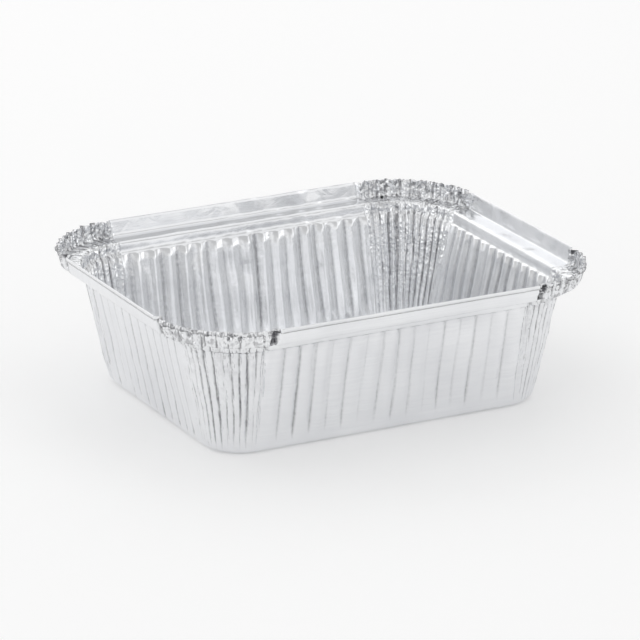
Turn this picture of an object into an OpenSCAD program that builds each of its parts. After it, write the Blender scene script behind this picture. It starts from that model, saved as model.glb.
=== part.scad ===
// Rectangular foil food container for hot takeaway meals, about 470 ml, pressed from one blank of
// aluminium foil. The walls are fluted, the four corners are gathered into fine pleats, and a flat
// flange carries an upright hemmed lip that is folded down over a lid.
// The origin is the centre of the base's underside, on the table. X runs along the long sides and
// Z points up.

/* [Rim] */
// Length over the lip's top edge
rim_length = 147; // [120:1:220]
// Width over the lip's top edge
rim_width = 122; // [100:1:180]
// Corner radius of the lip's top edge
rim_corner_r = 29; // [25:0.5:38]
// Width of the flat flange
flange_w = 6.5; // [4:0.25:9]
// Height of the upright lip above the flange
lip_h = 5.5; // [3:0.25:8]
// Distance that the lip leans out over its height
lip_flare = 0.9; // [0.3:0.1:2]
// Height of the folded hem along the lip's top edge
hem_h = 1.4; // [0.8:0.1:2]

/* [Walls] */
// Height of the flange's top face above the table
depth = 40; // [30:0.5:55]
// Height of the plain collar under the flange
collar_h = 3.6; // [2:0.2:6]
// Distance that the collar leans in over its height
collar_lean = 0.4; // [0.2:0.1:1.5]
// Width of the narrow shoulder where the collar meets the wall
shoulder_w = 0.8; // [0.4:0.1:1.5]
// Distance that the wall leans in between the shoulder and the heel
wall_lean = 7; // [4:0.25:10]
// Radius of the heel, the bend between the wall and the base
heel_r = 3; // [2:0.25:5]

/* [Base] */
// Width of the ring that the container stands on, with the heel
foot_w = 7.5; // [6:0.25:10]
// Width of the slope up to the raised panel
panel_slope = 1.6; // [0.8:0.1:2.5]
// Height of the raised panel's underside above the table
panel_rise = 1.2; // [0.6:0.1:2]

/* [Folds] */
// Distance from one flute to the next along a straight wall
flute_pitch = 5.5; // [5:0.25:9]
// Depth of a flute from crest to valley
flute_depth = 1.2; // [0.4:0.05:1.4]
// Pleats gathered into each corner
corner_pleats = 12; // [6:1:13]
// Depth of a corner pleat from crest to valley
pleat_depth = 1; // [0.4:0.05:1.2]
// Depth of the tuck where a pleated corner meets a straight side
tuck_depth = 1.6; // [0.4:0.05:2]
// Share by which the folds differ in depth from one to the next
unevenness = 0.35; // [0:0.05:0.6]

/* [Foil] */
// Thickness of the foil
foil_t = 0.08; // [0.05:0.01:0.12]

/* [Hidden] */
foil_colour = [0.80, 0.81, 0.82];

// Insets, from the lip's top edge to each bend of the section
lip_foot_in = lip_flare;
mouth_in = lip_foot_in + flange_w;
collar_foot_in = mouth_in + collar_lean;
wall_top_in = collar_foot_in + shoulder_w;
wall_foot_in = wall_top_in + wall_lean;
foot_in = wall_foot_in + foot_w;
panel_in = foot_in + panel_slope;

// Heights of the same bends, on the underside of the foil
flange_z = depth - foil_t;
lip_top_z = depth + lip_h;
collar_foot_z = flange_z - collar_h;
wall_top_z = collar_foot_z - shoulder_w / 2;

// Shares of the wall's height where the flutes have grown out of the heel and where they start to
// die out below the shoulder
flute_from = 0.12;
flute_to = 0.90;

// Smallest corner radius that a ring of the section may have
least_corner_r = 2;

// How far the folds show at a bend of the section, each from 0 to 1: the flutes of the straight
// sides, the pleats of the corners sideways, the same pleats up and down, and the tucks
PLAIN = [0, 0, 0, 0];
HEEL = [0.35, 0.35, 0, 0.2];
WALL_FOOT = [1, 0.9, 0, 0.4];
WALL_HEAD = [1, 1, 0, 0.6];
SHOULDER = [0.5, 0.8, 0, 0.6];
COLLAR = [0.15, 0.6, 0, 0.6];
MOUTH = [0, 0.3, 0.25, 0.4];
LIP_FOOT = [0, 0.4, 0.4, 0.6];
LIP = [0, 0.8, 0, 1];

function mix(a, b, share) = a + (b - a) * share;

// A point of the wall's slope at a share of its height, and of the lip's slope at a height
function on_wall(share) = [mix(wall_foot_in, wall_top_in, share), mix(heel_r, wall_top_z, share)];
function on_lip(z) = [mix(lip_foot_in, 0, (z - flange_z) / (lip_top_z - flange_z)), z];

// A point of the heel's bend, from 0 degrees at the base to 90 degrees at the wall
function on_heel(turn) = [wall_foot_in + heel_r * (1 - sin(turn)), heel_r * (1 - cos(turn))];

// The foil's underside in section, as [inset, height], with the folds of each bend
hem_foot_z = lip_top_z - hem_h;
hem_foot_folds = mix(LIP_FOOT, LIP, (hem_foot_z - flange_z) / (lip_top_z - flange_z));
section = [
    [panel_in, panel_rise],
    [foot_in, 0],
    on_heel(0),
    on_heel(50),
    on_heel(90),
    on_wall(flute_from),
    on_wall(flute_to),
    [wall_top_in, wall_top_z],
    [collar_foot_in, collar_foot_z],
    [mouth_in, flange_z],
    [lip_foot_in, flange_z],
    on_lip(hem_foot_z),
    [0, lip_top_z]
];
section_folds = [
    PLAIN,
    PLAIN,
    PLAIN,
    PLAIN,
    HEEL,
    WALL_FOOT,
    WALL_HEAD,
    SHOULDER,
    COLLAR,
    MOUTH,
    LIP_FOOT,
    hem_foot_folds,
    LIP
];
last = len(section) - 1;

// The side of each leg that faces up and into the container
function leg_normal(i) =
    let (leg = section[i + 1] - section[i])
    [leg[1], -leg[0]] / norm(leg);

// One thickness of foil away from a bend, on the mitre of its two legs
function mitre(i) =
    i == 0 ? [0, 1] :
    i == last ? leg_normal(last - 1) :
    let (sum = leg_normal(i - 1) + leg_normal(i))
    2 * sum / (sum * sum);

// The whole section as one loop: out along the underside, over the hem, which stands one foil proud
// of the lip, and back along the upper side. Each entry is [inset, height, folds]
hem_out = -foil_t * leg_normal(last - 1);
under_loop = concat(
    [for (i = [0 : last - 1]) [section[i][0], section[i][1], section_folds[i]]],
    [for (i = [last - 1, last]) let (p = section[i] + hem_out) [p[0], p[1], section_folds[i]]]
);
upper_loop = [
    for (i = [last : -1 : 0])
    let (p = section[i] + foil_t * mitre(i))
    [p[0], p[1], section_folds[i]]
];
loop = concat(under_loop, upper_loop);

// Columns round the container, each [side, kind, share of the way along its stretch, fold]. On a
// straight side every second column is a crest. In a corner every second one is a valley, and the
// first and the last valley are the tucks
STRAIGHT = 0;
PLEAT = 1;
TUCK = 2;
flutes_long = max(4, round((rim_length - 2 * rim_corner_r) / flute_pitch));
flutes_short = max(4, round((rim_width - 2 * rim_corner_r) / flute_pitch));
function flutes(side) = side % 2 == 0 ? flutes_long : flutes_short;
function uneven(k) = 1 - unevenness * (0.5 + 0.5 * sin(k * 137));
function crest(k, side) = (k % 2 == 0 ? -0.5 : 0.5) * uneven(k + 3 * side);
columns = [
    for (side = [0 : 3])
    each concat(
        [
            for (k = [0 : 2 * flutes(side) - 1])
            [side, STRAIGHT, k / (2 * flutes(side)), k == 0 ? 0 : crest(k, side)]
        ],
        [
            for (k = [0 : 2 * corner_pleats - 1])
            let (kind = k == 1 || k == 2 * corner_pleats - 1 ? TUCK : PLEAT)
            [side, kind, k / (2 * corner_pleats), k == 0 ? 0 : kind == TUCK ? -1 : -crest(k, side + 7)]
        ]
    )
];

// How far a column's fold stands off the plain ring, sideways and upwards
function sideways(kind, folds) =
    kind == STRAIGHT ? flute_depth * folds[0] :
    kind == PLEAT ? pleat_depth * folds[1] :
    tuck_depth * folds[3];
function upwards(kind, folds) = kind == STRAIGHT ? 0 : pleat_depth * folds[2];

// One point of a ring of the loop, at a column. All rings are rounded rectangles that share their
// corners' centres, and the fold moves the point off that outline
function ring_point(ring, column) =
    let (
        inset = ring[0],
        folds = ring[2],
        side = column[0],
        kind = column[1],
        along = [cos(90 * side), sin(90 * side)],
        out = [sin(90 * side), -cos(90 * side)],
        half = [rim_length / 2 - inset, rim_width / 2 - inset],
        r = max(least_corner_r, rim_corner_r - inset),
        reach = (side % 2 == 0 ? half[0] : half[1]) - r,
        far = (side % 2 == 0 ? half[1] : half[0]) - r,
        turn = kind == STRAIGHT ? 0 : 90 * column[2],
        slide = kind == STRAIGHT ? reach * (2 * column[2] - 1) : reach,
        normal = out * cos(turn) + along * sin(turn),
        at = out * far + along * slide + normal * (r + column[3] * sideways(kind, folds))
    )
    [at[0], at[1], ring[1] + column[3] * upwards(kind, folds)];

// The two triangles of a cell between point a, its neighbour b, and the next ring n points on. The
// same diagonal is used above and below the foil, so that its two sides never meet
function cell(a, b, n, upper) =
    upper ?
    [[a, a + n, b], [b, a + n, b + n]] :
    [[a, a + n, b + n], [a, b + n, b]];

// The foil as one closed skin
module container() {
    n = len(columns);
    rings = len(loop);
    points = concat(
        [[0, 0, panel_rise]],
        [for (ring = loop, column = columns) ring_point(ring, column)],
        [[0, 0, panel_rise + foil_t]]
    );
    top = len(points) - 1;
    faces = concat(
        [for (j = [0 : n - 1]) [0, 1 + j, 1 + (j + 1) % n]],
        [
            for (i = [0 : rings - 2], j = [0 : n - 1])
            let (a = 1 + i * n + j, b = 1 + i * n + (j + 1) % n)
            each cell(a, b, n, i >= len(under_loop))
        ],
        [for (j = [0 : n - 1]) [top, top - n + (j + 1) % n, top - n + j]]
    );
    color(foil_colour)
        polyhedron(points = points, faces = faces, convexity = 6);
}

container();
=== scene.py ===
"""A pressed foil food container, dressed for a studio picture.

The container is one sheet of aluminium foil. Its surface is worked out on a grid of two parameters:
the way along the foil's section, from the middle of the base to the hem, and the way round the
container. Lengths in the formulas are millimetres, and the mesh is in metres.
"""

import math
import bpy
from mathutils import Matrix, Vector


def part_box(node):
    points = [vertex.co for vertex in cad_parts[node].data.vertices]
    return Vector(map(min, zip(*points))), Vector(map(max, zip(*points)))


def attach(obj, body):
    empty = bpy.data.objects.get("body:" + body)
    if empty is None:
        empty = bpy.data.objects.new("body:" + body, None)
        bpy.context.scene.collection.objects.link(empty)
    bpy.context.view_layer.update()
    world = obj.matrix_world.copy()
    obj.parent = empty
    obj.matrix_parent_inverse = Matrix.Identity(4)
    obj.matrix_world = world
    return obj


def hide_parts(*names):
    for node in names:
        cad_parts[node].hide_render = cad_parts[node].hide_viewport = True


bl_info = {
    "name": "Foil Food Container",
    "version": (1, 0, 0),
    "blender": (4, 5, 0),
    "location": "3D View > Sidebar > Foil",
    "description": "Builds a pressed foil food container and a small studio for it",
    "category": "Add Mesh",
}

import bpy
import numpy as np
from mathutils import Vector

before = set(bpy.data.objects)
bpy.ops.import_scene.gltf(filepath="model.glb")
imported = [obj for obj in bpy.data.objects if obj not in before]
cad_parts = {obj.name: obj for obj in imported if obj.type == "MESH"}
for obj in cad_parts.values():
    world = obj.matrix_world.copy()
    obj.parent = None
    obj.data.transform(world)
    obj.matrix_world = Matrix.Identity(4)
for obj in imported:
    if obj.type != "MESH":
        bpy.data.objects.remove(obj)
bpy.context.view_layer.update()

MM = 0.001

LOW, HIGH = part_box("container")
LENGTH = HIGH.x - LOW.x
WIDTH = HIGH.y - LOW.y
HEIGHT = HIGH.z - LOW.z


# Settings


def length(name, description, millimetres):
    """A length that a user can change, kept in metres, from its size in millimetres."""
    return bpy.props.FloatProperty(
        name=name,
        description=description,
        default=millimetres * MM,
        min=0.0,
        precision=5,
        unit="LENGTH",
        subtype="DISTANCE",
    )


def direction(name, description, degrees):
    """An angle that a user can change, kept in radians, from its size in degrees."""
    return bpy.props.FloatProperty(
        name=name, description=description, default=math.radians(degrees), subtype="ANGLE"
    )


def count(name, description, value):
    """A whole number that a user can change."""
    return bpy.props.IntProperty(
        name=name, description=description, default=value, min=1, max=200
    )


def colour(name, description, code):
    """A colour that a user can change, from its sRGB hex code."""
    return bpy.props.FloatVectorProperty(
        name=name,
        description=description,
        subtype="COLOR",
        size=3,
        min=0.0,
        max=1.0,
        default=linear(code),
    )


def linear(code):
    """The linear colour of an sRGB hex code."""
    values = [int(code[i : i + 2], 16) / 255 for i in (1, 3, 5)]
    return [v / 12.92 if v <= 0.04045 else ((v + 0.055) / 1.055) ** 2.4 for v in values]


class ContainerSizes(bpy.types.PropertyGroup):
    """The container's section and plan."""

    corner_r: length("Rim corner", "Corner radius of the lip's top edge", 29.0)
    lip_h: length("Lip height", "Height of the upright lip above the flange", 5.5)
    lip_flare: length("Lip flare", "Distance that the lip leans out", 0.9)
    hem_h: length("Hem height", "Height of the folded hem on the lip", 1.4)
    flange_w: length("Flange width", "Width of the flat flange", 6.5)
    collar_h: length("Collar height", "Height of the plain collar under the flange", 3.6)
    collar_lean: length("Collar lean", "Distance that the collar leans in", 0.4)
    shoulder_w: length("Shoulder width", "Width of the shoulder under the collar", 0.8)
    wall_lean: length("Wall lean", "Distance that the wall leans in to the base", 7.0)
    heel_r: length("Heel radius", "Radius of the bend between wall and base", 3.6)
    foot_w: length("Foot width", "Width of the ring that the container stands on", 7.5)
    panel_slope: length("Panel slope", "Width of the slope up to the raised panel", 1.6)
    panel_rise: length("Panel rise", "Height of the raised panel above the table", 1.2)
    foil_t: length("Foil thickness", "Thickness of the foil", 0.08)


class FoldSettings(bpy.types.PropertyGroup):
    """The folds that the press leaves in the foil."""

    flute_pitch: length("Flute pitch", "Distance between flutes on a straight wall", 5.5)
    flute_depth: length("Flute depth", "Depth of a flute", 1.2)
    pleats: count("Pleats", "Deep pleats gathered into each corner", 12)
    pleat_depth: length("Pleat depth", "Depth of a corner pleat", 1.0)
    wrinkles: count("Wrinkles", "Fine wrinkles gathered into each corner", 31)
    wrinkle_depth: length("Wrinkle depth", "Depth of a fine wrinkle", 0.60)
    crush_depth: length("Crush depth", "Depth of the crushed foil on a corner's lip", 0.50)
    tuck_depth: length("Tuck depth", "Depth of the tuck beside each corner", 1.6)
    dent_depth: length("Dent depth", "Depth of the shallow dents of the sheet", 0.22)
    seed: count("Seed", "Picks which folds are deep", 7)


class FoilFinish(bpy.types.PropertyGroup):
    """The look of the rolled foil, and the colour of the shade painted into its hollows."""

    bright: colour("Bright foil", "Colour of clean rolled foil", "#F7F8F9")
    dull: colour("Dull foil", "Colour where the foil is rubbed", "#E4E5E8")
    # Colour of the shade painted into the tight hollows between folds and the pockets of crushed foil
    painted_shade: colour("Hollow", "Colour of the tight hollows between folds", "#56565A")
    crease_gap: length("Crease gap", "Distance between the small creases", 5.0)
    line_gap: length("Line gap", "Distance between rolling lines", 0.5)


class StudioSettings(bpy.types.PropertyGroup):
    """Floor and camera."""

    azimuth: direction("Azimuth", "Turn of the camera about Z", -27.5)
    elevation: direction("Elevation", "Height of the camera as an angle", 19.0)
    distance: length("Distance", "From the container to the camera", 1470.0)
    filled: bpy.props.FloatProperty(
        name="Filled",
        description="Share of the picture's width that the container fills",
        default=0.84,
        min=0.1,
        max=1.0,
        subtype="FACTOR",
    )
    floor: colour("Floor", "Colour of the floor", "#F2F2F2")


# Section

# Gaps to the CAD box, in millimetres: how far the plain rim stays inside it to leave room for folds,
# how far the lip's plain top does, and the least gap of a fold
RIM_ROOM = 0.3
TOP_ROOM = 0.12
EDGE_GAP = 0.06

# Small sizes of the section, in millimetres: the hem's fold, how far its end turns in, how far the
# heel's bend lies inside the wall's foot, and the radii of the lesser bends
HEM_FOLD = 0.26
HEM_TURN = 0.1
HEEL_INSET = 0.6
FOOT_BEND = 1.0
SHOULDER_BEND = 0.35
MOUTH_BEND = 0.8
LIP_BEND = 0.6
HEM_BEND = 0.45 * HEM_FOLD

# Share of the way from bend to bend that an arc takes
ARC_SHARE = 0.1


def rounded_path(rows):
    """A path of straight legs joined by arcs that touch both legs.

    Each row is a bend: its inset and height, its radius, the steps along the leg up to it and the
    steps round its arc. With u the leg's direction, v the side that it turns to, r the radius and
    a the angle turned so far, a point of an arc is the leg's end plus r (u sin a + v (1 - cos a)).
    Returns the points and their way along, counted in bends.
    """
    rows = np.array(rows)
    bends, radii = rows[:, :2], rows[:, 2]
    leg_steps, arc_steps = rows[:, 3:].astype(int).T
    legs = np.diff(bends, axis=0)
    legs /= np.linalg.norm(legs, axis=1)[:, None]
    points, ways = [], []

    def add(part, way_from, way_to):
        points.append(part[:-1])
        ways.append(np.linspace(way_from, way_to, len(part))[:-1])

    start, way, half_arc = bends[0], ARC_SHARE / 2, ARC_SHARE / 2
    for i in range(1, len(legs)):
        leg, after = legs[i - 1], legs[i]
        turn = math.acos(leg @ after)
        side = after - leg * (leg @ after)
        side /= np.linalg.norm(side)
        stop = bends[i] - leg * radii[i] * math.tan(turn / 2)
        angle = np.linspace(0, turn, arc_steps[i] + 1)[:, None]
        arc = stop + radii[i] * (leg * np.sin(angle) + side * (1 - np.cos(angle)))
        add(np.linspace(start, stop, leg_steps[i] + 1), way, i - half_arc)
        add(arc, i - half_arc, i + half_arc)
        start, way = arc[-1], i + half_arc
    end = len(legs) - half_arc
    add(np.linspace(start, bends[-1], leg_steps[-1] + 1), way, end)
    return np.concatenate([*points, bends[-1:]]), np.concatenate([*ways, [end]])


def section_of(sizes):
    """The foil in section, from the raised panel's edge out to the end of the hem, in millimetres.

    Returns (inset from the lip's edge, height), and the way along in bends: 1 foot, 2 heel, 3 wall
    top, 4 collar foot, 5 mouth, 6 lip foot, 7 and 8 the hem's fold.
    """
    s = {name: getattr(sizes, name) / MM for name in ContainerSizes.__annotations__}
    top = HEIGHT / MM - TOP_ROOM
    flange = top - s["lip_h"]
    mouth = s["lip_flare"] + s["flange_w"]
    collar = mouth + s["collar_lean"]
    collar_z = flange - s["collar_h"]
    wall_top = collar + s["shoulder_w"]
    wall_top_z = collar_z - s["shoulder_w"] / 2
    wall_foot = wall_top + s["wall_lean"]
    foot = wall_foot + s["foot_w"]
    half = s["foil_t"] / 2
    return rounded_path(
        (
            (foot + s["panel_slope"], s["panel_rise"] + half, 0, 0, 0),
            (foot, half, FOOT_BEND, 1, 2),
            (wall_foot + HEEL_INSET, half, s["heel_r"], 2, 5),
            (wall_top, wall_top_z, SHOULDER_BEND, 12, 1),
            (collar, collar_z, SHOULDER_BEND, 1, 1),
            (mouth, flange - half, MOUTH_BEND, 2, 3),
            (s["lip_flare"] + HEM_FOLD, flange - half, LIP_BEND, 3, 2),
            (HEM_FOLD, top - half, HEM_BEND, 6, 2),
            (0, top - half, HEM_BEND, 1, 2),
            (HEM_TURN, top - s["hem_h"], 0, 1, 0),
        )
    )


# Plan and folds

# Columns of the foil's grid in a corner and in a flute, and its rows over the raised panel
CORNER_COLUMNS = 120
FLUTE_COLUMNS = 8
PANEL_ROWS = 6

# How much each kind of fold shows, by the way along the section in bends
WAY = (0.0, 0.95, 1.95, 2.05, 2.16, 2.90, 3.05, 4.0, 5.05, 6.0, 7.0, 9.0)
FLUTE_SHOWS = (0, 0, 0, 0.30, 1.0, 0.95, 0.50, 0.12, 0, 0, 0, 0)
PLEAT_SHOWS = (0, 0, 0, 0.35, 0.85, 1.05, 0.80, 0.60, 0.30, 0.50, 1.05, 1.05)
WRINKLE_SHOWS = (0, 0, 0, 0.10, 0.25, 0.60, 0.75, 0.80, 0.60, 1.0, 1.50, 1.50)
CRUSH_SHOWS = (0, 0, 0, 0.10, 0.20, 0.30, 0.40, 0.60, 0.60, 1.0, 1.0, 0.8)
TUCK_SHOWS = (0, 0, 0, 0.15, 0.40, 0.60, 0.60, 0.60, 0.40, 0.60, 1.0, 1.0)
GATHER_SHOWS = (0, 0, 0.10, 0.15, 0.20, 0.45, 0.55, 0.60, 0.60, 0.80, 1.0, 1.0)
LIFT_SHOWS = (0, 0, 0, 0, 0, 0, 0, 0, 0.30, 0.40, 0.05, 0.05)
DENT_SHOWS = (0, 0, 0, 0.20, 0.8, 1.1, 0.6, 0.6, 0.45, 0.6, 0.6, 0.6)

# Distances from a joint between side and corner over which the folds grow, in millimetres, and the
# share of a pleat at each end of a corner that is left to the tuck
FLUTE_GROWS = 1.4
WRINKLE_GROWS = 1.2
TUCK_GROWS = 0.5
GATHER_GROWS = 0.8
TUCK_ROOM = 0.75

# How far folds stray from even steps along the ring: flutes, and the weave of the wrinkles, as shares
# of one fold, and pleats, tucks and the drift of the wrinkles as shares of the corner
FLUTE_DRIFT = 0.10
FLUTE_SWAY = 0.06
PLEAT_DRIFT = 0.030
PLEAT_BOW = 0.006
WRINKLE_DRIFT = 0.016
WRINKLE_WEAVE = 0.22
TUCK_LEAN = 0.010

# Lengths along the ring and up the wall, in millimetres, in which a stray turns by one radian
FLUTE_DRIFT_RUN = 17
FLUTE_SWAY_RUN = 6
FLUTE_SWAY_RISE = 8
PLEAT_BOW_RISE = 5
WRINKLE_WEAVE_RISE = 3.1
TUCK_LEAN_RISE = 2.6

# How many radians the wrinkles' weave turns along a corner, and how far up the crush leans for each
# millimetre along it
WRINKLE_WEAVE_TURN = 14
CRUSH_LEAN = 0.3

# How many times more than a pleat a fine wrinkle lifts the flange
WRINKLE_LIFT = 1.4

# Size of the loop that the way round follows through the field of dents, across and up, in
# millimetres
DENT_LOOP = 38
DENT_SHIFT = 30

# How many times deeper than the dents the raised panel swells
PANEL_SWELL = 1.5

# How tightly folds close, which sets how dark shade is painted into their hollows: the share of a
# pleat's depth that closes it, the share of a flute's depth that counts, and the most that a fold
# other than a tuck closes
CLOSING_DEPTH = 0.55
FLUTE_CLOSES = 0.5
FOLD_CLOSES = 0.62

# A tuck is painted as the darkest shade. It closes this far at its full depth, more or less by a
# wave up the wall, and only from the least depth on. On the way along the section it closes from
# the first of the shares to the second
TUCK_CLOSES = 1.15
TUCK_VARIES = 0.3
TUCK_WAVE_RATE = 2.2
TUCK_LEAST = 0.05
TUCK_WAY = (3.35, 6.5)
TUCK_SHARES = (0.3, 1.0)


def crimp(phase, roundness):
    """A row of folds: -1 in the sharp valleys at whole numbers, +1 on the crests between them.

    With d the distance to the nearest crest in half folds, the height is 1 - 2 d ** roundness.
    """
    away = np.abs(phase % 1.0 - 0.5) * 2
    return 1 - 2 * away**roundness


def wander(rng, x, waves, slowest, fastest):
    """A smooth random line, mostly between -1 and 1: a sum of sines of random rates and phases."""
    rate = rng.uniform(slowest, fastest, waves)
    phase = rng.uniform(0, 2 * np.pi, waves)
    return np.sin(x[..., None] * rate + phase).sum(-1) / math.sqrt(waves)


def crumple(rng, x, y, waves, shortest, longest):
    """A crumpled sheet: the absolute value of a sum of plane waves, less its mean.

    Each wave runs in a random direction and has a random length. The absolute value leaves smooth
    facets that meet in sharp creases.
    """
    angle = rng.uniform(0, np.pi, waves)
    rate = 2 * np.pi / rng.uniform(shortest, longest, waves)
    phase = rng.uniform(0, 2 * np.pi, waves)
    total = np.zeros(np.broadcast(x, y).shape)
    for a, r, p in zip(angle, rate, phase):
        total += np.sin(r * (np.cos(a) * x + np.sin(a) * y) + p)
    total = np.abs(total) / math.sqrt(waves)
    return total - total.mean()


def uneven(rng, phase, least, most, first, halves=1024):
    """A depth for each half fold, random and joined by straight lines along the phase.

    The depths come from a table of that many halves, which is read from the first one on.
    """
    table = rng.uniform(least, most, halves)
    return np.interp((2 * phase + first) % (halves - 1), np.arange(halves), table)


class Plan:
    """The columns round the container: a straight side and then a corner, four times.

    A column is known by its side, whether it is in a corner, and the share of the way along that
    stretch. All rings share their corners' centres, so a point of the plain form is the centre
    plus the ring's radius along the column's normal.
    """

    def __init__(self, sizes, folds):
        self.corner_r = sizes.corner_r / MM
        half = np.array([LENGTH, WIDTH]) / MM / 2 - RIM_ROOM
        straight = 2 * (half - self.corner_r)
        self.flutes = np.round(straight / (folds.flute_pitch / MM))
        stretches = []
        for side in range(4):
            side_columns = int(self.flutes[side % 2]) * FLUTE_COLUMNS
            for corner, columns in ((0, side_columns), (1, CORNER_COLUMNS)):
                way = np.arange(columns) / columns
                stretches.append(np.stack([np.full(columns, side), np.full(columns, corner), way]))
        side, corner, self.way = np.concatenate(stretches, axis=1)
        self.side, self.corner = side.astype(int), corner.astype(bool)
        turn = np.radians(90) * side
        along = np.stack([np.cos(turn), np.sin(turn)], -1)
        out = np.stack([np.sin(turn), -np.cos(turn)], -1)
        bend = np.where(self.corner, self.way * np.pi / 2, 0.0)[:, None]
        self.normal = out * np.cos(bend) + along * np.sin(bend)
        run = straight[self.side % 2]
        far = half[1 - self.side % 2] - self.corner_r
        slide = np.where(self.corner, run / 2, run * (self.way - 0.5))
        self.centre = out * far[:, None] + along * slide[:, None]
        stretch = np.where(self.corner, self.corner_r * np.pi / 2, run)
        self.from_joint = np.minimum(self.way, 1 - self.way) * stretch
        rim = self.ring(0.0)
        step = np.linalg.norm(np.diff(rim, axis=0, append=rim[:1]), axis=1)
        self.round = np.cumsum(step) - step

    def ring(self, inset):
        """The plain ring at an inset from the lip's edge."""
        return self.centre + self.normal * (self.corner_r - inset)

    def grown(self, distance):
        """From 0 at the joints between sides and corners to 1 at a distance from them."""
        return np.clip(self.from_joint / distance, 0, 1)

    def inner_pleats(self, pleats):
        """1 in a corner, but 0 in most of the pleat at each of its ends, where a tuck stands."""
        first = np.clip(self.way * pleats - TUCK_ROOM, 0, 1)
        last = np.clip((1 - self.way) * pleats - TUCK_ROOM, 0, 1)
        return first * last * self.corner


def straight_folds(rng, plan, folds, up):
    """Flutes of the straight sides, in millimetres outwards: half the depth times a crimp.

    Each flute has its own depth. Its phase drifts along the side and sways up the wall, and the
    flutes fade at the joints.
    """
    ends = np.sin(np.pi * plan.way)
    drift = FLUTE_DRIFT * wander(rng, plan.round / FLUTE_DRIFT_RUN, waves=6, slowest=0.6, fastest=2.4)
    sway = FLUTE_SWAY * np.sin(up / FLUTE_SWAY_RISE + plan.round / FLUTE_SWAY_RUN)
    phase = plan.flutes[plan.side % 2] * plan.way + (drift + sway) * ends
    deep = uneven(rng, phase, least=0.55, most=1.15, first=90 * plan.side)
    fade = plan.grown(FLUTE_GROWS) * ~plan.corner
    return 0.5 * folds.flute_depth / MM * crimp(phase, roundness=1.4) * deep * fade


def corner_pleats(rng, plan, folds, up):
    """Pleats of the corners, in millimetres outwards: half the depth times a crimp.

    Its phase drifts along the corner and bows up the wall, so that no two pleats are alike, and is
    half a fold on, so that a corner starts on a crest. Here and below, a number that multiplies
    the way says how fast a fold drifts, and one that multiplies the side keeps the corners unlike.
    """
    ends = np.sin(np.pi * plan.way)
    drift = PLEAT_DRIFT * wander(rng, plan.way * 3 + plan.side * 11, waves=5, slowest=1, fastest=4)
    bow = PLEAT_BOW * np.sin(up / PLEAT_BOW_RISE + plan.side * 2)
    phase = folds.pleats * (plan.way + (drift + bow) * ends) + 0.5
    deep = uneven(rng, phase, least=0.5, most=1.25, first=60 * plan.side)
    fold = 0.5 * folds.pleat_depth / MM * crimp(phase, roundness=1.1)
    return fold * deep * plan.inner_pleats(folds.pleats)


def corner_wrinkles(rng, plan, folds, up):
    """Fine wrinkles of the corners, in millimetres outwards: half the depth times a crimp.

    Its phase drifts along the corner and weaves up the wall.
    """
    ends = np.sin(np.pi * plan.way)
    drift = WRINKLE_DRIFT * wander(rng, plan.way * 9 + plan.side * 5, waves=6, slowest=1, fastest=5)
    weave = WRINKLE_WEAVE * np.sin(up / WRINKLE_WEAVE_RISE + WRINKLE_WEAVE_TURN * plan.way)
    phase = folds.wrinkles * (plan.way + drift * ends) + weave
    deep = uneven(rng, phase, least=0.15, most=1.4, first=130 * plan.side)
    fade = plan.grown(WRINKLE_GROWS) * plan.corner
    return 0.5 * folds.wrinkle_depth / MM * crimp(phase, roundness=1.0) * deep * fade


def corner_crush(rng, plan, folds, up):
    """Crushed foil of the corners, in millimetres outwards: the depth times a crumple."""
    leant = up + CRUSH_LEAN * plan.round
    crush = crumple(rng, plan.round, leant, waves=30, shortest=1.8, longest=5.0)
    return crush * folds.crush_depth / MM * plan.grown(WRINKLE_GROWS) * plan.corner


def corner_tucks(plan, folds, up):
    """A tuck at each end of a corner, in millimetres outwards: the depth times -d**2 (3 - 2 d).

    It is as wide as one pleat. With off the way to its middle in half pleats, d is 1.5 (1 - off)
    kept between 0 and 1, and it leans to and fro up the wall.
    """
    half = 0.5 / folds.pleats
    lean = TUCK_LEAN * np.sin(up / TUCK_LEAN_RISE + 3 * plan.side)
    off = np.minimum(np.abs(plan.way - half + lean), np.abs(1 - plan.way - half + lean)) / half
    down = np.clip(1.5 * (1 - off), 0, 1) * plan.grown(TUCK_GROWS)
    return -folds.tuck_depth / MM * down**2 * (3 - 2 * down) * plan.corner


def sheet_dents(rng, plan, up):
    """Shallow dents of the whole sheet, as shares of their depth: a crumple on a closed loop.

    With t the share of the way round as an angle, the loop is at x = DENT_LOOP (cos t + sin 2 t),
    y = DENT_SHIFT sin t plus the way up the section. It closes 1 mm past the last column.
    """
    turns = plan.round / (plan.round[-1] + 1) * 2 * np.pi
    x = DENT_LOOP * np.cos(turns) + DENT_LOOP * np.sin(2 * turns)
    return crumple(rng, x, up + DENT_SHIFT * np.sin(turns), waves=26, shortest=9, longest=34)


def painted_fold_shade(folded, tucked, way, up, side):
    """How tightly the foil is folded: below 0 in a valley seen from outside, above 0 on a crest.

    Folds count up to a limit either way. A tuck is tighter than that, and most of all up at the
    lip, where it is its share of the full depth times a wave about TUCK_CLOSES. The result is a
    mask of painted shade: the base colour is darkened in the folds' hollows, most of all in tucks.
    """
    tucked = tucked * np.interp(way, TUCK_WAY, TUCK_SHARES)[:, None]
    closed = (TUCK_CLOSES + TUCK_VARIES * np.sin(TUCK_WAVE_RATE * up + side)) * tucked
    folded = np.clip(folded, -FOLD_CLOSES, FOLD_CLOSES)
    return np.where(tucked > -TUCK_LEAST, folded, np.minimum(folded, closed))


def raised_panel(rng, edge, height, dent_depth):
    """The raised panel: its edge drawn in towards the middle by even steps of a share.

    It lies at a height, plus a shallow swell, a crumple of long waves times 1 - share ** 3, which
    fades out at the edge.
    """
    share = np.linspace(0, 1, PANEL_ROWS + 1)[1:-1, None]
    panel = edge * share[..., None]
    swell = crumple(rng, panel[..., 0], panel[..., 1], waves=22, shortest=24, longest=70)
    panel[..., 2] = height + PANEL_SWELL * dent_depth * swell * (1 - share**3)
    return panel


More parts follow.
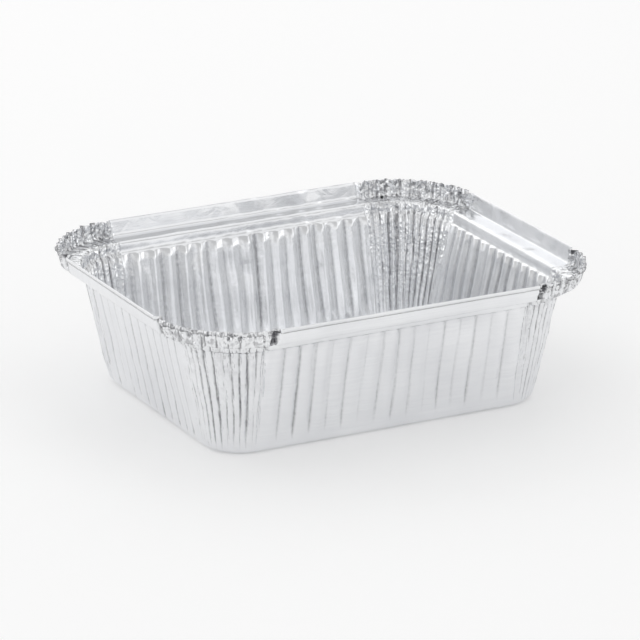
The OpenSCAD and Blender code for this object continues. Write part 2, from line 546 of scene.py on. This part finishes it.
def pressed_sheet(sizes, folds):
    """The middle of the foil as a grid, rows along the section and columns round the container.

    The plain form is moved along the plan's normal by each fold times how much it shows in the
    row, up or down on the flange by the corner folds, and along the section's normal by dents.
    Returns the points, how tightly the foil is folded as a mask of painted shade, how gathered it
    is, and where each point lay in the flat blank.
    """
    rng = np.random.default_rng(folds.seed)
    path, way = section_of(sizes)
    plan = Plan(sizes, folds)
    steps = np.linalg.norm(np.diff(path, axis=0, prepend=path[:1]), axis=1)
    up = np.cumsum(steps)[:, None]

    def shown(fold, table):
        return np.interp(way, WAY, table)[:, None] * fold

    flute = straight_folds(rng, plan, folds, up)
    pleat = corner_pleats(rng, plan, folds, up)
    wrinkle = corner_wrinkles(rng, plan, folds, up)
    crush = corner_crush(rng, plan, folds, up)
    tuck = corner_tucks(plan, folds, up)
    fluted = shown(flute, FLUTE_SHOWS)
    tucked = shown(tuck, TUCK_SHOWS)
    gathered = shown(pleat, PLEAT_SHOWS) + shown(wrinkle, WRINKLE_SHOWS) + shown(crush, CRUSH_SHOWS)
    sideways = fluted + gathered + tucked
    lifted = shown(pleat + WRINKLE_LIFT * wrinkle + crush, LIFT_SHOWS)
    dent_depth = folds.dent_depth / MM
    dents = shown(dent_depth * sheet_dents(rng, plan, up), DENT_SHOWS)

    leg = np.gradient(path, axis=0)
    leg /= np.linalg.norm(leg, axis=1)[:, None]
    rings = plan.ring(path[:, :1, None])
    points = np.empty((*rings.shape[:2], 3))
    points[..., :2] = rings + plan.normal * (sideways - leg[:, 1:] * dents)[..., None]
    points[..., 2] = path[:, 1:] + lifted - leg[:, :1] * dents
    points = np.clip(points, np.array(LOW) / MM + EDGE_GAP, np.array(HIGH) / MM - EDGE_GAP)
    panel = raised_panel(rng, points[:1], path[0, 1], dent_depth)

    # Painted shade: how tightly folds and tucks close sets how dark the base colour is painted there
    folded = (gathered + FLUTE_CLOSES * fluted) / (CLOSING_DEPTH * folds.pleat_depth / MM)
    tight = painted_fold_shade(folded, tucked / (folds.tuck_depth / MM), way, up, plan.side)
    gather = shown(plan.grown(GATHER_GROWS) * plan.corner, GATHER_SHOWS)
    blank = rings[0] + plan.normal * up[..., None]
    still = np.zeros(panel.shape[:2])
    return (
        np.concatenate([panel, points]) * MM,
        np.concatenate([still, tight]),
        np.concatenate([still, gather]),
        np.concatenate([panel[..., :2], blank]) * MM,
    )


# Mesh


def sheet_normals(points):
    """Unit normals of a ring grid: the way along the section crossed with the way round."""
    along = np.gradient(points, axis=0)
    around = np.roll(points, -1, axis=1) - np.roll(points, 1, axis=1)
    normal = np.cross(along, around)
    return normal / np.linalg.norm(normal, axis=-1, keepdims=True)


def foil_mesh(name, sheet, thickness):
    """A closed foil of a thickness about a ring grid: both skins, their middles and the cut edge.

    A point of a skin is the sheet's point plus or minus half the thickness along its normal. The
    first attribute is painted shade: how tight the fold's hollows are on that skin, which darkens
    its base colour, and "gather" is how gathered the foil is.
    The UV map "blank" is where the point lay in the flat blank.
    """
    points, tight, gather, blank = sheet
    rows, columns = points.shape[:2]
    normal = sheet_normals(points)
    middle = points[:1].mean(axis=1)
    half = thickness / 2
    lift = np.array([[0.0, 0.0, half]])
    verts = np.concatenate(
        [
            middle + lift,
            (points + half * normal).reshape(-1, 3),
            middle - lift,
            (points - half * normal).reshape(-1, 3),
        ]
    )
    upper = 1 + np.arange(rows * columns).reshape(rows, columns)
    lower = upper + 1 + rows * columns

    def skin(index, centre):
        beside = np.roll(index, -1, axis=1)
        fan = np.stack([np.full(columns, centre), index[0], beside[0]], -1)
        cells = np.stack([index[:-1], index[1:], beside[1:], beside[:-1]], -1)
        return fan, cells.reshape(-1, 4)

    upper_fan, upper_cells = skin(upper, 0)
    lower_fan, lower_cells = skin(lower, 1 + rows * columns)
    edge = np.stack([upper[-1], lower[-1], np.roll(lower[-1], -1), np.roll(upper[-1], -1)], -1)
    threes = np.concatenate([upper_fan, lower_fan[:, ::-1]])
    fours = np.concatenate([upper_cells, lower_cells[:, ::-1], edge])
    loops = np.concatenate([threes.ravel(), fours.ravel()])
    starts = np.concatenate([np.arange(len(threes)) * 3, threes.size + np.arange(len(fours)) * 4])

    mesh = bpy.data.meshes.new(name)
    mesh.vertices.add(len(verts))
    mesh.vertices.foreach_set("co", verts.ravel())
    mesh.loops.add(len(loops))
    mesh.loops.foreach_set("vertex_index", loops)
    mesh.polygons.add(len(starts))
    mesh.polygons.foreach_set("loop_start", starts)
    mesh.polygons.foreach_set("use_smooth", np.ones(len(starts), bool))
    mesh.update(calc_edges=True)

    # The first attribute is painted shade on each skin: outside in the valleys, inside under the
    # crests
    for label, above, below in (
        ("painted_shade", np.clip(tight, 0, 1), np.clip(-tight, 0, 1)),
        ("gather", gather, gather),
    ):
        values = np.concatenate([[0.0], above.ravel(), [0.0], below.ravel()]).astype(np.float32)
        mesh.attributes.new(label, "FLOAT", "POINT").data.foreach_set("value", values)
    flat = np.concatenate([[[0, 0]], blank.reshape(-1, 2)])
    flat = np.concatenate([flat, flat])[loops]
    mesh.uv_layers.new(name="blank").data.foreach_set("uv", flat.ravel().astype(np.float32))
    return mesh


# Materials

# Sizes of the foil's patterns: the waves of the sheet, the cells of crushed foil, the painted shade
# of its dark pockets, the grain that the rolls leave, the faint bloom, and how long a rolling line
# runs. Real grain is too fine to show, so it is drawn as coarse as it needs to show
WAVE_SIZE = 13 * MM
CRUSH_SIZE = 1.5 * MM
POCKET_SIZE = 3.0 * MM
GRAIN_SIZE = 0.9 * MM
BLOOM_SIZE = 22 * MM
LINE_RUN = 30 * MM

# Heights of the patterns in relief
WAVE_RELIEF = 1.1 * MM
CREASE_RELIEF = 0.30 * MM
CRUSH_RELIEF = 0.35 * MM
GRAIN_RELIEF = 0.04 * MM
LINE_RELIEF = 0.03 * MM

# How many times larger the noise that bends the small creases is than they are
BEND_SIZE = 1.6

# How strong the relief of the grain and of the rolling lines is
FINE_STRENGTH = 0.12

# What is added to the grain where it mottles the shade painted in the hollows, and the power of the
# gather with which the painted shade of the dark pockets comes up
MOTTLE_LEVEL = 0.6
POCKET_POWER = 2.0

# The sheet is slack, and waves fully, up to the first height, and is stretched from the second on
SLACK_HEIGHTS = (3 * MM, 14 * MM)

# The floor's paper: the size and height of its grain, drawn as coarse as it needs to show, and how
# much it glows to the camera, in metal and through glass. That makes it near white there and lights
# nothing else
PAPER_GRAIN = 2 * MM
PAPER_RELIEF = 0.1 * MM
PAPER_GLOW = 0.18

# Sockets of a Mix node that is set to colours
MIX_A, MIX_B, MIX_RESULT = 6, 7, 2


def add_node(tree, kind, settings=None, links=None, **attributes):
    """A node with its attributes, its socket values and its incoming links."""
    node = tree.nodes.new(kind)
    for name, value in attributes.items():
        setattr(node, name, value)
    for name, value in (settings or {}).items():
        node.inputs[name].default_value = value
    for name, socket in (links or {}).items():
        tree.links.new(socket, node.inputs[name])
    return node


def new_material(name):
    """An empty node material."""
    material = bpy.data.materials.new(name)
    material.use_nodes = True
    material.node_tree.nodes.clear()
    return material


def rolled_foil(finish):
    """Rolled aluminium foil: soft annealed container foil, pressed between two dies.

    The rolls leave it mirror bright, with hair lines along the sheet and a fine grain. Pressing and
    handling leave slack waves, small creases and a faint bloom, and the gathered corners are
    crushed much finer. The eye sees soft, broken reflections with sparks and dark folds. The dark of
    the tight folds and of the crushed foil's pockets is shade painted into the base colour.
    """
    material = new_material("rolled_aluminium_foil")
    tree = material.node_tree
    where = add_node(tree, "ShaderNodeTexCoord")
    gathered = add_node(tree, "ShaderNodeAttribute", attribute_name="gather")
    grain = add_node(
        tree,
        "ShaderNodeTexNoise",
        {"Scale": 1 / GRAIN_SIZE, "Detail": 3.0, "Roughness": 0.6},
        {"Vector": where.outputs["Object"]},
    )
    lines = rolling_lines(tree, finish)
    relief = foil_relief(tree, finish, where, gathered, grain, lines)
    tint = foil_tint(tree, finish, where, lines)
    shaded = painted_hollow_shade(tree, finish, where, gathered, grain, tint)
    rough = add_node(
        tree,
        "ShaderNodeMapRange",
        {"From Min": 0.3, "From Max": 0.7, "To Min": 0.12, "To Max": 0.20},
        {"Value": grain.outputs["Fac"]},
    )
    shader = add_node(
        tree,
        "ShaderNodeBsdfPrincipled",
        {"Metallic": 1.0},
        {
            "Base Color": shaded.outputs[MIX_RESULT],
            "Roughness": rough.outputs[0],
            "Normal": relief.outputs[0],
        },
    )
    add_node(tree, "ShaderNodeOutputMaterial", None, {"Surface": shader.outputs[0]})
    return material


def rolling_lines(tree, finish):
    """Hair lines along the blank: a noise that is stretched along and tight across.

    Real ones are hundredths of a millimetre apart, too fine to show, so they are drawn as coarse as
    they need to show.
    """
    blank = add_node(tree, "ShaderNodeUVMap", uv_map="blank")
    stretched = add_node(
        tree,
        "ShaderNodeMapping",
        {"Scale": (1 / LINE_RUN, 1 / finish.line_gap, 1.0)},
        {"Vector": blank.outputs["UV"]},
    )
    return add_node(
        tree,
        "ShaderNodeTexNoise",
        {"Scale": 1.0, "Detail": 3.0, "Roughness": 0.7},
        {"Vector": stretched.outputs[0]},
    )


def foil_relief(tree, finish, where, gathered, grain, lines):
    """The foil's relief, from coarse to fine: waves, small creases, crush, grain and lines."""
    # The sheet waves gently, most of all on the wide base
    waves = add_node(
        tree,
        "ShaderNodeTexNoise",
        {"Scale": 1 / WAVE_SIZE, "Detail": 1.5, "Distortion": 0.4},
        {"Vector": where.outputs["Object"]},
    )
    height = add_node(tree, "ShaderNodeSeparateXYZ", None, {0: where.outputs["Object"]})
    slack = add_node(
        tree,
        "ShaderNodeMapRange",
        {"From Min": SLACK_HEIGHTS[0], "From Max": SLACK_HEIGHTS[1], "To Min": 1.0, "To Max": 0.30},
        {"Value": height.outputs["Z"]},
        interpolation_type="SMOOTHSTEP",
    )
    waved = add_node(
        tree,
        "ShaderNodeBump",
        {"Distance": WAVE_RELIEF},
        {"Strength": slack.outputs[0], "Height": waves.outputs["Fac"]},
    )

    # Small creases are the edges of cells, bent by a noise that also leaves calm patches
    bent = add_node(
        tree,
        "ShaderNodeTexNoise",
        {"Scale": 1 / (finish.crease_gap * BEND_SIZE), "Detail": 2.0},
        {"Vector": where.outputs["Object"]},
    )
    moved = add_node(
        tree,
        "ShaderNodeVectorMath",
        {1: (finish.crease_gap,) * 3},
        {0: bent.outputs["Color"]},
        operation="MULTIPLY",
    )
    place = add_node(
        tree,
        "ShaderNodeVectorMath",
        None,
        {0: where.outputs["Object"], 1: moved.outputs[0]},
        operation="ADD",
    )
    cells = add_node(
        tree,
        "ShaderNodeTexVoronoi",
        {"Scale": 1 / finish.crease_gap},
        {"Vector": place.outputs[0]},
        feature="DISTANCE_TO_EDGE",
    )
    patchy = add_node(
        tree,
        "ShaderNodeMapRange",
        {"From Min": 0.40, "From Max": 0.70, "To Min": 0.08, "To Max": 0.45},
        {"Value": bent.outputs["Fac"]},
        interpolation_type="SMOOTHSTEP",
    )
    creased = add_node(
        tree,
        "ShaderNodeBump",
        {"Distance": CREASE_RELIEF},
        {
            "Strength": patchy.outputs[0],
            "Height": cells.outputs["Distance"],
            "Normal": waved.outputs[0],
        },
    )

    # Crushed foil is pinched into many small cells
    crush = add_node(
        tree,
        "ShaderNodeTexVoronoi",
        {"Scale": 1 / CRUSH_SIZE},
        {"Vector": place.outputs[0]},
        feature="F1",
    )
    crushed = add_node(
        tree,
        "ShaderNodeBump",
        {"Distance": CRUSH_RELIEF},
        {
            "Strength": gathered.outputs["Fac"],
            "Height": crush.outputs["Distance"],
            "Normal": creased.outputs[0],
        },
    )
    grained = add_node(
        tree,
        "ShaderNodeBump",
        {"Strength": FINE_STRENGTH, "Distance": GRAIN_RELIEF},
        {"Height": grain.outputs["Fac"], "Normal": crushed.outputs[0]},
    )
    return add_node(
        tree,
        "ShaderNodeBump",
        {"Strength": FINE_STRENGTH, "Distance": LINE_RELIEF},
        {"Height": lines.outputs["Fac"], "Normal": grained.outputs[0]},
    )


def foil_tint(tree, finish, where, lines):
    """Clean foil that turns dull in faint blooms and along the rolling lines."""
    bloom = add_node(
        tree,
        "ShaderNodeTexNoise",
        {"Scale": 1 / BLOOM_SIZE, "Detail": 3.0},
        {"Vector": where.outputs["Object"]},
    )
    both = add_node(
        tree,
        "ShaderNodeMath",
        None,
        {0: bloom.outputs["Fac"], 1: lines.outputs["Fac"]},
        operation="ADD",
    )
    streaked = add_node(
        tree,
        "ShaderNodeMapRange",
        {"From Min": 0.50, "From Max": 1.50},
        {"Value": both.outputs[0]},
    )
    return add_node(
        tree,
        "ShaderNodeMix",
        {MIX_A: (*finish.bright, 1.0), MIX_B: (*finish.dull, 1.0)},
        {"Factor": streaked.outputs[0]},
        data_type="RGBA",
    )


def painted_hollow_shade(tree, finish, where, gathered, grain, tint):
    """Paints shade into the tint: darker in tight hollows and in the pockets of crushed foil."""
    # Painted shade: tight hollows trap the light between folds too small to model, so the tint is
    # darkened there
    painted_shade = add_node(tree, "ShaderNodeAttribute", attribute_name="painted_shade")
    mottle = add_node(
        tree, "ShaderNodeMath", {1: MOTTLE_LEVEL}, {0: grain.outputs["Fac"]}, operation="ADD"
    )
    mottled = add_node(
        tree,
        "ShaderNodeMath",
        None,
        {0: painted_shade.outputs["Fac"], 1: mottle.outputs[0]},
        operation="MULTIPLY",
    )
    deep = add_node(
        tree,
        "ShaderNodeMapRange",
        {"From Min": 0.12, "From Max": 1.0, "To Min": 0.0, "To Max": 0.97},
        {"Value": mottled.outputs[0]},
        interpolation_type="SMOOTHSTEP",
    )

    # Painted shade: crushed foil holds dark pockets of shade between its facets, painted as dark
    # flecks where it is gathered
    fleck = add_node(
        tree,
        "ShaderNodeTexNoise",
        {"Scale": 1 / POCKET_SIZE, "Detail": 3.0, "Roughness": 0.65},
        {"Vector": where.outputs["Object"]},
    )
    pocket = add_node(
        tree,
        "ShaderNodeMapRange",
        {"From Min": 0.50, "From Max": 0.66, "To Min": 0.0, "To Max": 0.60},
        {"Value": fleck.outputs["Fac"]},
        interpolation_type="SMOOTHSTEP",
    )
    crowded = add_node(
        tree,
        "ShaderNodeMath",
        {1: POCKET_POWER},
        {0: gathered.outputs["Fac"]},
        operation="POWER",
    )
    pocket_shade = add_node(
        tree,
        "ShaderNodeMath",
        None,
        {0: pocket.outputs[0], 1: crowded.outputs[0]},
        operation="MULTIPLY",
    )
    darkest = add_node(
        tree,
        "ShaderNodeMath",
        None,
        {0: deep.outputs[0], 1: pocket_shade.outputs[0]},
        operation="MAXIMUM",
    )
    # Mixes the painted shade colour into the tint
    return add_node(
        tree,
        "ShaderNodeMix",
        {MIX_B: (*finish.painted_shade, 1.0)},
        {"Factor": darkest.outputs[0], MIX_A: tint.outputs[MIX_RESULT]},
        data_type="RGBA",
    )


def studio_paper(tone):
    """Matt white background paper, pressed from bleached pulp.

    Its fibres scatter light evenly, so the eye sees an even pale ground and the object's shadow.
    """
    material = new_material("studio_paper")
    tree = material.node_tree
    where = add_node(tree, "ShaderNodeTexCoord")
    grain = add_node(
        tree,
        "ShaderNodeTexNoise",
        {"Scale": 1 / PAPER_GRAIN, "Detail": 2.0},
        {"Vector": where.outputs["Object"]},
    )
    bump = add_node(
        tree,
        "ShaderNodeBump",
        {"Strength": 0.05, "Distance": PAPER_RELIEF},
        {"Height": grain.outputs["Fac"]},
    )
    paper = add_node(
        tree,
        "ShaderNodeBsdfPrincipled",
        {"Base Color": (*tone, 1.0), "Roughness": 0.9, "Specular IOR Level": 0.1},
        {"Normal": bump.outputs[0]},
    )
    path = add_node(tree, "ShaderNodeLightPath")
    seen = add_node(
        tree,
        "ShaderNodeMath",
        None,
        {0: path.outputs["Is Camera Ray"], 1: path.outputs["Is Glossy Ray"]},
        operation="MAXIMUM",
    )
    shown = add_node(
        tree,
        "ShaderNodeMath",
        None,
        {0: seen.outputs[0], 1: path.outputs["Is Transmission Ray"]},
        operation="MAXIMUM",
    )
    level = add_node(
        tree, "ShaderNodeMath", {1: PAPER_GLOW}, {0: shown.outputs[0]}, operation="MULTIPLY"
    )
    glow = add_node(
        tree, "ShaderNodeEmission", {"Color": (1, 1, 1, 1)}, {"Strength": level.outputs[0]}
    )
    both = add_node(tree, "ShaderNodeAddShader", None, {0: paper.outputs[0], 1: glow.outputs[0]})
    add_node(tree, "ShaderNodeOutputMaterial", None, {"Surface": both.outputs[0]})
    return material


# Studio

# Radius of the floor, in metres
FLOOR_RADIUS = 12.0

# Soft boxes, which all look at the container: name, place, width and height, in metres, and power
# in watts
SOFT_BOXES = (
    ("top_left_box", (-0.70, 0.10, 1.55), (2.4, 0.95), 2.4),
    ("top_right_box", (0.70, 0.10, 1.55), (2.4, 0.95), 2.4),
    ("back_box", (-0.10, 1.34, 1.06), (3.0, 0.84), 5.0),
    ("left_box", (-1.25, -0.55, 0.75), (1.0, 1.3), 1.6),
    ("right_box", (1.10, -0.95, 0.55), (0.8, 1.0), 1.0),
)

# The tent round the table: how many white panels it has, the levels of the gaps between them and of
# its roof, and the heights of a unit direction between which it turns from panels to roof
TENT_PANELS = 4
TENT_GAP = 0.66
TENT_ROOF = 0.62
TENT_TOP = (0.22, 0.38)

# The camera's sensor in millimetres, how near and far it sees in metres, and the share of what a
# round corner cuts off its diagonal that narrows the picture
SENSOR_WIDTH = 36.0
CAMERA_CLIP = (0.05, 30.0)
CORNER_SHARE = 0.7


def floor_mesh(name, radius, rings=6, columns=48):
    """A flat disc: rings of points at even steps of the radius, and columns at even angles."""
    angle = np.arange(columns) * 2 * np.pi / columns
    reach = radius * np.arange(1, rings + 1)[:, None] / rings
    level = np.zeros((rings, columns))
    points = np.stack([reach * np.cos(angle), reach * np.sin(angle), level], -1)
    verts = np.concatenate([np.zeros((1, 3)), points.reshape(-1, 3)])
    index = 1 + np.arange(rings * columns).reshape(rings, columns)
    beside = np.roll(index, -1, axis=1)
    fan = np.stack([np.zeros(columns, int), index[0], beside[0]], -1)
    cells = np.stack([index[:-1], index[1:], beside[1:], beside[:-1]], -1).reshape(-1, 4)
    mesh = bpy.data.meshes.new(name)
    mesh.from_pydata(verts.tolist(), [], fan.tolist() + cells.tolist())
    mesh.update()
    return mesh


def soft_box(context, name, at, aim, size, watts):
    """A rectangular area lamp that looks at a point."""
    lamp = bpy.data.lights.new(name, "AREA")
    lamp.shape = "RECTANGLE"
    lamp.size, lamp.size_y = size
    lamp.energy = watts
    holder = bpy.data.objects.new(name, lamp)
    holder.location = at
    holder.rotation_euler = (aim - Vector(at)).to_track_quat("-Z", "Y").to_euler()
    context.collection.objects.link(holder)


def pale_tent(azimuth):
    """The world: white panels round the table, with greyer gaps between them and a greyer roof.

    Foil has no look of its own but what it mirrors, and the gaps and the roof give it its
    contrast.
    """
    world = bpy.data.worlds.new("studio_world")
    world.use_nodes = True
    tree = world.node_tree
    tree.nodes.clear()
    where = add_node(tree, "ShaderNodeTexCoord")
    parts = add_node(tree, "ShaderNodeSeparateXYZ", None, {0: where.outputs["Generated"]})
    turn = add_node(
        tree,
        "ShaderNodeMath",
        None,
        {0: parts.outputs["X"], 1: parts.outputs["Y"]},
        operation="ARCTAN2",
    )
    repeated = add_node(
        tree,
        "ShaderNodeMath",
        {1: TENT_PANELS, 2: -TENT_PANELS * azimuth},
        {0: turn.outputs[0]},
        operation="MULTIPLY_ADD",
    )
    wave = add_node(tree, "ShaderNodeMath", None, {0: repeated.outputs[0]}, operation="COSINE")
    panel = add_node(
        tree,
        "ShaderNodeMapRange",
        {"From Min": -1.0, "From Max": -0.3, "To Min": TENT_GAP, "To Max": 1.0},
        {"Value": wave.outputs[0]},
    )
    high = add_node(
        tree,
        "ShaderNodeMapRange",
        {"From Min": TENT_TOP[0], "From Max": TENT_TOP[1]},
        {"Value": parts.outputs["Z"]},
        interpolation_type="SMOOTHSTEP",
    )
    tent = add_node(
        tree, "ShaderNodeMix", {"B": TENT_ROOF}, {"Factor": high.outputs[0], "A": panel.outputs[0]}
    )
    glow = add_node(tree, "ShaderNodeBackground", None, {"Color": tent.outputs[0]})
    add_node(tree, "ShaderNodeOutputWorld", None, {"Surface": glow.outputs[0]})
    return world


def picture_camera(context, studio, aim, corner_r):
    """The camera that takes the picture, with the lens that the container's width asks for."""
    camera = bpy.data.cameras.new("picture")
    holder = bpy.data.objects.new("picture", camera)
    context.collection.objects.link(holder)
    flat = math.cos(studio.elevation)
    back = Vector(
        (
            math.sin(studio.azimuth) * flat,
            -math.cos(studio.azimuth) * flat,
            math.sin(studio.elevation),
        )
    )
    holder.location = aim + back * studio.distance
    holder.rotation_euler = (-back).to_track_quat("-Z", "Y").to_euler()
    seen_width = LENGTH * math.cos(studio.azimuth) + WIDTH * abs(math.sin(studio.azimuth))
    seen_width -= 2 * corner_r * (math.sqrt(2) - 1) * CORNER_SHARE
    camera.sensor_width = SENSOR_WIDTH
    camera.lens = SENSOR_WIDTH * studio.filled * studio.distance / seen_width
    camera.clip_start, camera.clip_end = CAMERA_CLIP
    return holder


# Operators


class FOIL_OT_press_container(bpy.types.Operator):
    """Press the container from one sheet of foil, in place of the CAD solid"""

    bl_idname = "foil.press_container"
    bl_label = "Press Container"

    def execute(self, context):
        sizes = context.scene.foil_sizes
        sheet = pressed_sheet(sizes, context.scene.foil_folds)
        mesh = foil_mesh("pressed_container", sheet, sizes.foil_t)
        mesh.materials.append(rolled_foil(context.scene.foil_finish))
        container = bpy.data.objects.new("pressed_container", mesh)
        context.collection.objects.link(container)
        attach(container, "root")
        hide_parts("container")
        return {"FINISHED"}


class FOIL_OT_set_studio(bpy.types.Operator):
    """Set the paper floor, the lamps, the world and the camera"""

    bl_idname = "foil.set_studio"
    bl_label = "Set Studio"

    def execute(self, context):
        scene = context.scene
        studio = scene.foil_studio
        floor = bpy.data.objects.new("paper_floor", floor_mesh("paper_floor", FLOOR_RADIUS))
        context.collection.objects.link(floor)
        floor.data.materials.append(studio_paper(studio.floor))

        middle = Vector((0, 0, HEIGHT * 0.5))
        for name, at, size, watts in SOFT_BOXES:
            soft_box(context, name, at, middle, size, watts)
        scene.world = pale_tent(studio.azimuth)
        scene.camera = picture_camera(context, studio, middle, scene.foil_sizes.corner_r)
        scene.view_settings.view_transform = "Standard"
        return {"FINISHED"}


class FOIL_PT_panel(bpy.types.Panel):
    """The container's sizes, folds, finish and studio"""

    bl_idname = "FOIL_PT_panel"
    bl_label = "Foil Food Container"
    bl_space_type = "VIEW_3D"
    bl_region_type = "UI"
    bl_category = "Foil"

    def draw(self, context):
        for name, title in GROUPS.items():
            box = self.layout.box()
            box.label(text=title)
            group = getattr(context.scene, name)
            for field in group.__annotations__:
                box.prop(group, field)
        for step in STEPS:
            self.layout.operator(step.bl_idname)


GROUPS = {
    "foil_sizes": "Sizes",
    "foil_folds": "Folds",
    "foil_finish": "Finish",
    "foil_studio": "Studio",
}
GROUP_TYPES = (ContainerSizes, FoldSettings, FoilFinish, StudioSettings)
STEPS = (FOIL_OT_press_container, FOIL_OT_set_studio)
CLASSES = (*GROUP_TYPES, *STEPS, FOIL_PT_panel)


def register():
    """Registers the classes and gives the scene their settings."""
    for item in CLASSES:
        bpy.utils.register_class(item)
    for name, kind in zip(GROUPS, GROUP_TYPES):
        setattr(bpy.types.Scene, name, bpy.props.PointerProperty(type=kind))


def unregister():
    """Takes the settings off the scene and removes the classes."""
    for name in GROUPS:
        delattr(bpy.types.Scene, name)
    for item in reversed(CLASSES):
        bpy.utils.unregister_class(item)


def main():
    """Builds the container and its studio."""
    register()
    bpy.ops.foil.press_container()
    bpy.ops.foil.set_studio()


if __name__ == "__main__":
    main()
